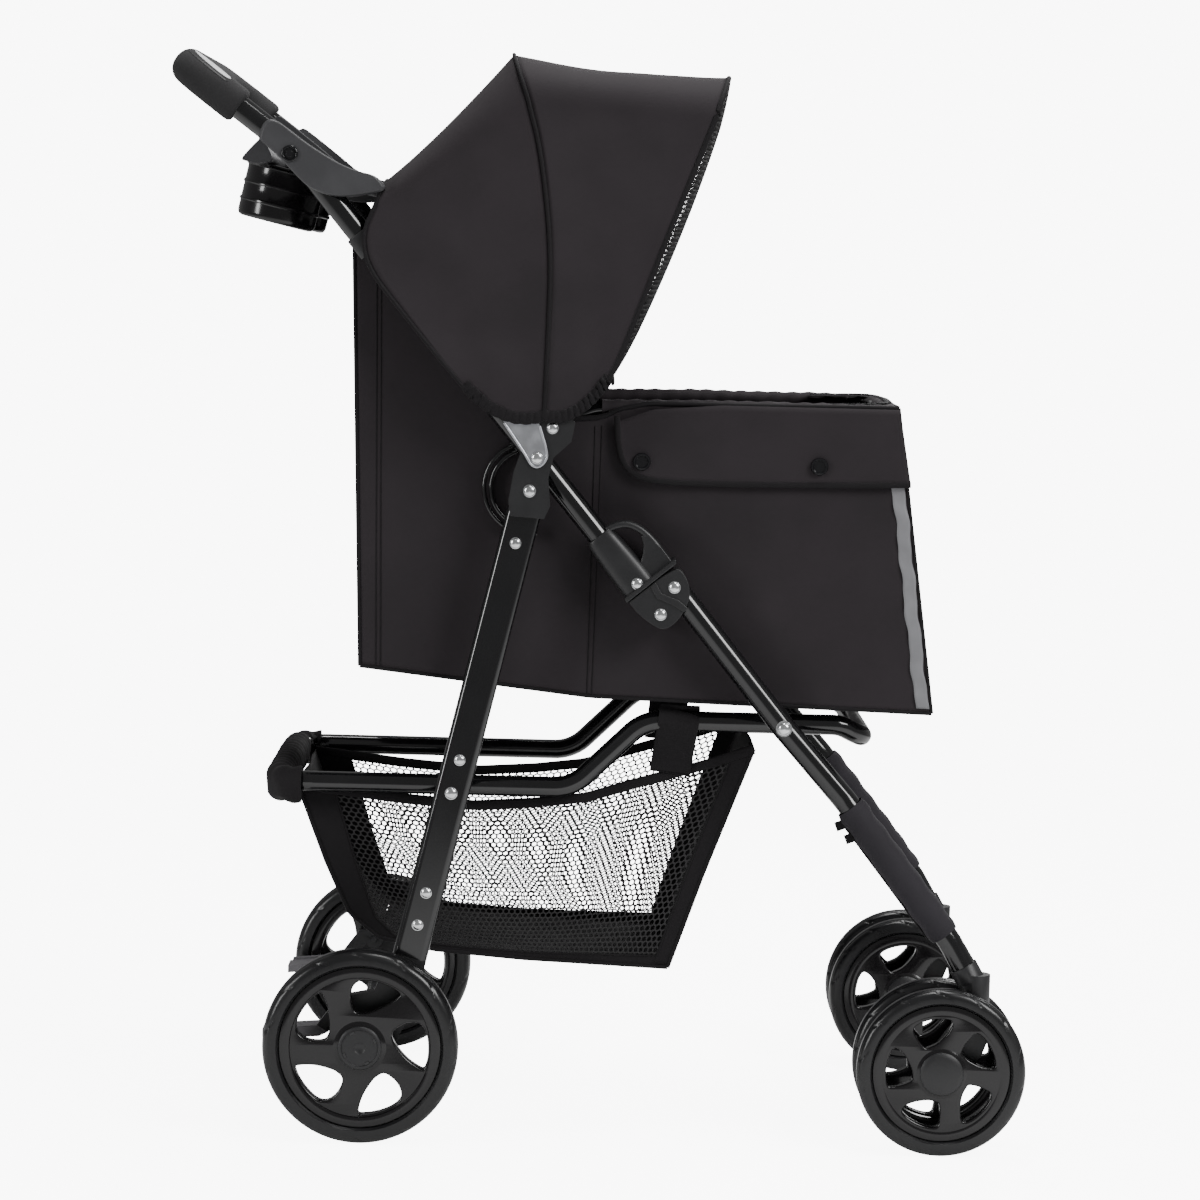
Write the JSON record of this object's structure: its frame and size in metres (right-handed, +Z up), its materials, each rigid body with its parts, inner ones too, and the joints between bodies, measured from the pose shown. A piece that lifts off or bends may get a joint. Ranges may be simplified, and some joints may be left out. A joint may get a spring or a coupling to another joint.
{
  "type": "pet stroller",
  "caption": "Folding pet stroller: fabric cabin with hooped canopy on a black tube frame, paired swivel front wheels, rear wheels with brakes, mesh basket, tray and foam handle.",
  "frame": {"origin": "on the floor, under the middle of the object's box", "axes": "+X towards the front wheels, +Y to the left side, +Z up"},
  "size_m": [0.7616, 0.441, 0.944],
  "materials": {
    "black_paint": "gloss powder coat",
    "steel": "bright zinc",
    "galvanised": "galvanised",
    "plastic_dark": "fine matte texture",
    "plastic_tray": "fine matte texture",
    "plastic_gloss": "gloss",
    "plastic_grey": "matte",
    "foam": "closed-cell foam",
    "tyre": "satin",
    "polyester": "woven",
    "basket_cloth": "woven and mesh",
    "sleeve_cloth": "woven"
  },
  "bodies": {
    "rear_frame": {"rear_leg_left": "black_paint", "rear_leg_right": "black_paint", "leg_caps": "plastic_dark", "axle_housing_left": "plastic_dark", "axle_housing_right": "plastic_dark", "rear_axle": "steel", "rear_rivets": "steel"},
    "rear_wheel_left": {"rear_tyre_left": "tyre", "rear_rim_left": "plastic_gloss", "rear_hub_cap_left": "plastic_dark"},
    "rear_wheel_right": {"rear_tyre_right": "tyre", "rear_rim_right": "plastic_gloss", "rear_hub_cap_right": "plastic_dark"},
    "brake_left": {"brake_pedal_left": "plastic_grey"},
    "brake_right": {"brake_pedal_right": "plastic_grey"},
    "handle_frame": {"handle_tube_left": "black_paint", "handle_tube_right": "black_paint", "handle_bar": "black_paint", "handle_grip": "foam", "hub_plate_left": "plastic_dark", "hub_plate_right": "plastic_dark", "canopy_brackets": "galvanised", "hub_rivets": "steel", "hinge_eyes": "plastic_dark", "cabin_stay_rods": "black_paint", "parent_tray": "plastic_tray", "cup_holders": "plastic_gloss", "tray_bolts": "plastic_dark", "cabin_shell": "polyester", "cabin_floor": "polyester", "canopy_rear": "polyester"},
    "latch_left": {"fold_latch_left": "plastic_dark"},
    "latch_right": {"fold_latch_right": "plastic_dark"},
    "front_legs": {"front_leg_left": "black_paint", "front_leg_right": "black_paint", "fold_bracket_left": "plastic_dark", "fold_bracket_right": "plastic_dark", "leg_sleeves": "sleeve_cloth", "caster_socket_left": "plastic_dark", "caster_socket_right": "plastic_dark", "front_rivets": "steel"},
    "caster_left": {"caster_fork_left": "plastic_dark"},
    "caster_right": {"caster_fork_right": "plastic_dark"},
    "front_wheel_left_outer": {"front_tyre_left_outer": "tyre", "front_rim_left_outer": "plastic_gloss"},
    "front_wheel_left_inner": {"front_tyre_left_inner": "tyre", "front_rim_left_inner": "plastic_gloss"},
    "front_wheel_right_outer": {"front_tyre_right_outer": "tyre", "front_rim_right_outer": "plastic_gloss"},
    "front_wheel_right_inner": {"front_tyre_right_inner": "tyre", "front_rim_right_inner": "plastic_gloss"},
    "basket_frame": {"basket_tube_left": "black_paint", "basket_tube_right": "black_paint", "basket_front_bar": "black_paint", "basket_rear_bar": "black_paint", "basket": "basket_cloth"},
    "top_rim": {"cabin_rim": "black_paint"},
    "canopy_mid": {"mid_hoop": "black_paint", "canopy_front": "polyester"},
    "canopy_lead": {"front_hoop": "black_paint"}
  },
  "joints": [
    {"name": "main_fold", "type": "hinge", "parent": "rear_frame", "child": "handle_frame", "pos_m": [-0.06165, 0, 0.569], "axis": [0, -1, 0], "range_deg": [0, 96], "deforming": ["cabin_shell", "cabin_floor"]},
    {"name": "front_leg_fold", "type": "hinge", "parent": "handle_frame", "child": "front_legs", "pos_m": [0.05415, 0, 0.464], "axis": [0, -1, 0], "range_deg": [-152, 0]},
    {"name": "basket_frame_fold", "type": "hinge", "parent": "rear_frame", "child": "basket_frame", "pos_m": [-0.12335, 0, 0.305], "axis": [0, -1, 0], "range_deg": [0, 50], "deforming": ["basket"]},
    {"name": "rim_fold", "type": "hinge", "parent": "handle_frame", "child": "top_rim", "pos_m": [-0.04315, 0, 0.6235], "axis": [0, -1, 0], "range_deg": [-45, 0]},
    {"name": "canopy_mid_fold", "type": "hinge", "parent": "handle_frame", "child": "canopy_mid", "pos_m": [-0.05675, 0, 0.65], "axis": [0, -1, 0], "range_deg": [0, 20], "deforming": ["canopy_rear"]},
    {"name": "canopy_lead_fold", "type": "hinge", "parent": "canopy_mid", "child": "canopy_lead", "pos_m": [-0.05675, 0, 0.65], "axis": [0, -1, 0], "range_deg": [0, 28.5], "deforming": ["canopy_front"]},
    {"name": "latch_left_slide", "type": "slide", "parent": "handle_frame", "child": "latch_left", "axis": [-0.6396, 0, 0.7687], "range_m": [0, 0.018], "stiffness_N_per_m": 400, "springref_m": -0.01},
    {"name": "latch_right_slide", "type": "slide", "parent": "handle_frame", "child": "latch_right", "axis": [-0.6396, 0, 0.7687], "range_m": [0, 0.018], "stiffness_N_per_m": 400, "springref_m": -0.01},
    {"name": "rear_wheel_left_spin", "type": "hinge", "parent": "rear_frame", "child": "rear_wheel_left", "pos_m": [-0.19675, 0.2065, 0.085], "axis": [0, 1, 0], "continuous": true},
    {"name": "brake_left_press", "type": "hinge", "parent": "rear_frame", "child": "brake_left", "pos_m": [-0.20475, 0.16, 0.112], "axis": [0, -1, 0], "range_deg": [0, 18]},
    {"name": "caster_left_swivel", "type": "hinge", "parent": "front_legs", "child": "caster_left", "pos_m": [0.33725, 0.181, 0.119], "axis": [0, 0, 1], "continuous": true},
    {"name": "front_wheel_left_outer_spin", "type": "hinge", "parent": "caster_left", "child": "front_wheel_left_outer", "pos_m": [0.30725, 0.206, 0.0735], "axis": [0, 1, 0], "continuous": true},
    {"name": "front_wheel_left_inner_spin", "type": "hinge", "parent": "caster_left", "child": "front_wheel_left_inner", "pos_m": [0.30725, 0.156, 0.0735], "axis": [0, 1, 0], "continuous": true},
    {"name": "rear_wheel_right_spin", "type": "hinge", "parent": "rear_frame", "child": "rear_wheel_right", "pos_m": [-0.19675, -0.2065, 0.085], "axis": [0, 1, 0], "continuous": true},
    {"name": "brake_right_press", "type": "hinge", "parent": "rear_frame", "child": "brake_right", "pos_m": [-0.20475, -0.16, 0.112], "axis": [0, -1, 0], "range_deg": [0, 18]},
    {"name": "caster_right_swivel", "type": "hinge", "parent": "front_legs", "child": "caster_right", "pos_m": [0.33725, -0.181, 0.119], "axis": [0, 0, 1], "continuous": true},
    {"name": "front_wheel_right_outer_spin", "type": "hinge", "parent": "caster_right", "child": "front_wheel_right_outer", "pos_m": [0.30725, -0.206, 0.0735], "axis": [0, 1, 0], "continuous": true},
    {"name": "front_wheel_right_inner_spin", "type": "hinge", "parent": "caster_right", "child": "front_wheel_right_inner", "pos_m": [0.30725, -0.156, 0.0735], "axis": [0, 1, 0], "continuous": true}
  ],
  "couplings": [
    {"joint": "front_leg_fold", "follows": "main_fold", "ratio": -1.4643},
    {"joint": "basket_frame_fold", "follows": "main_fold", "ratio": 0.4576},
    {"joint": "rim_fold", "follows": "main_fold", "ratio": -0.45},
    {"joint": "canopy_lead_fold", "follows": "canopy_mid_fold", "ratio": 1.4}
  ]
}
